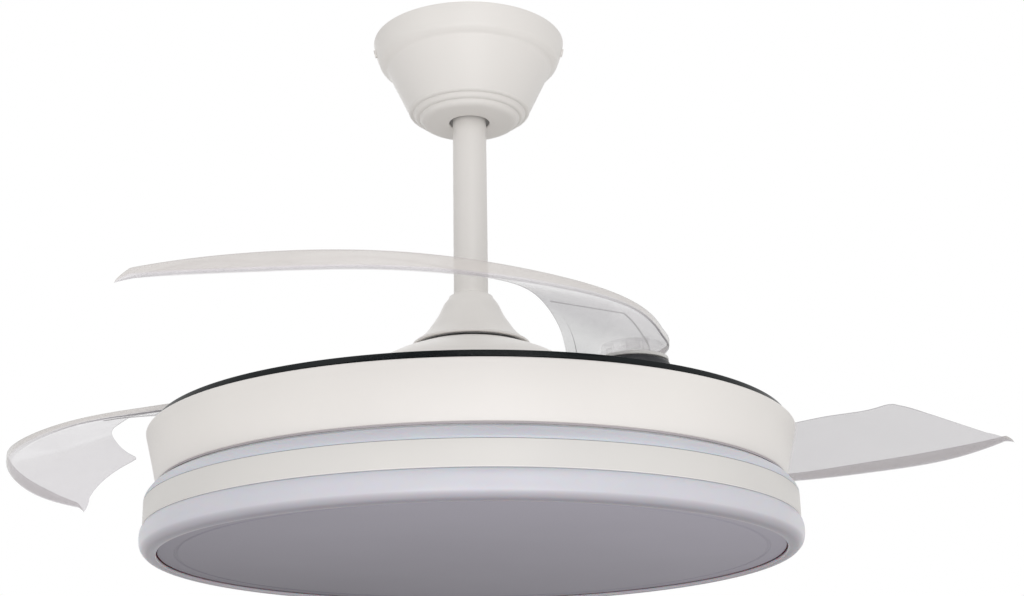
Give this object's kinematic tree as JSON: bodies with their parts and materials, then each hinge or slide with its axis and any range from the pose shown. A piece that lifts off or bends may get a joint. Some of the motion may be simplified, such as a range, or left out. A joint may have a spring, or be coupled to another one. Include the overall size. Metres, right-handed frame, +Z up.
{
  "type": "retractable blade ceiling fan",
  "caption": "Ceiling fan with a round light: clear blades fold over a black disc above a cream drum, on a downrod with a stepped canopy.",
  "frame": {"origin": "centre of the hanger bracket's top face, where it meets the ceiling", "axes": "+Z up along the fan's axis, the view side is -Y, +X to the right in that view"},
  "size_m": [0.8526, 0.7178, 0.4338],
  "materials": {
    "cream_paint": "satin cream paint",
    "steel": "plated steel",
    "spring_steel": "dark spring steel",
    "lamination": "stacked electrical sheet",
    "copper": "enamelled copper wire",
    "magnet": "plated magnet",
    "alloy": "die-cast alloy",
    "gloss_black": "high gloss black",
    "dark_nylon": "moulded dark nylon",
    "clear_acrylic": "clear polished acrylic",
    "frosted_acrylic": "frosted translucent acrylic",
    "opal": "opal diffuser, satin",
    "white_plastic": "white moulded plastic",
    "white_board": "white solder mask on aluminium",
    "phosphor": "yellow phosphor",
    "tray_white": "white reflective paint"
  },
  "bodies": {
    "ceiling_unit": {"hanger_bracket": "steel", "canopy": "cream_paint", "canopy_screws": "cream_paint", "receiver_box": "white_plastic", "terminal_block": "white_plastic"},
    "hanging_unit": {"hanger_ball": "dark_nylon", "ball_pin": "steel", "downrod": "cream_paint", "yoke": "steel", "yoke_pin": "steel", "yoke_set_screws": "spring_steel", "coupling_cover": "cream_paint", "motor_shaft": "steel", "stator_core": "lamination", "stator_coils": "copper", "shaft_spacer": "alloy", "lamp_plate": "steel", "shaft_nut": "steel", "drum_shell": "cream_paint", "drum_screws": "steel", "motor_controller": "white_plastic", "led_driver": "white_plastic", "lamp_chassis": "tray_white", "led_boards": "white_board", "leds": "phosphor", "light_strip": "frosted_acrylic", "trim_band": "cream_paint"},
    "lampshade": {"lamp_ring": "frosted_acrylic", "diffuser": "opal"},
    "rotor": {"rotor_top_cover": "cream_paint", "rotor_bottom_cover": "cream_paint", "rotor_screws": "steel", "magnets": "magnet", "magnet_carrier": "lamination", "upper_bearing": "steel", "lower_bearing": "steel", "blade_carrier": "gloss_black", "carrier_screws": "steel", "pivot_pucks": "dark_nylon", "pivot_pins": "steel", "pivot_nuts": "steel", "blade_springs": "spring_steel"},
    "front_blade": {"blade_front": "clear_acrylic", "blade_hub_front": "white_plastic", "blade_clamp_front": "clear_acrylic", "blade_screws_front": "steel"},
    "left_blade": {"blade_left": "clear_acrylic", "blade_hub_left": "white_plastic", "blade_clamp_left": "clear_acrylic", "blade_screws_left": "steel"},
    "right_blade": {"blade_right": "clear_acrylic", "blade_hub_right": "white_plastic", "blade_clamp_right": "clear_acrylic", "blade_screws_right": "steel"}
  },
  "joints": [
    {"name": "hanger_lean", "type": "hinge", "parent": "ceiling_unit", "child": "hanging_unit", "pos_m": [0, 0, -0.038], "axis": [1, 0, 0], "range_deg": [-3, 3]},
    {"name": "rotor_spin", "type": "hinge", "parent": "hanging_unit", "child": "rotor", "pos_m": [0, 0, -0.3], "axis": [0, 0, 1], "continuous": true},
    {"name": "blade_front_swing", "type": "hinge", "parent": "rotor", "child": "front_blade", "pos_m": [0.11075, -0.17251, -0.33], "axis": [0, 0, 1], "range_deg": [-51.4, 40.6]},
    {"name": "blade_left_swing", "type": "hinge", "parent": "rotor", "child": "left_blade", "pos_m": [-0.20477, -0.00966, -0.33], "axis": [0, 0, 1], "range_deg": [-75.6, 16.4]},
    {"name": "blade_right_swing", "type": "hinge", "parent": "rotor", "child": "right_blade", "pos_m": [0.09402, 0.18217, -0.33], "axis": [0, 0, 1], "range_deg": [-60, 32]},
    {"name": "shade_twist", "type": "hinge", "parent": "hanging_unit", "child": "lampshade", "pos_m": [0, 0, -0.42], "axis": [0, 0, 1], "range_deg": [0, 22]}
  ]
}
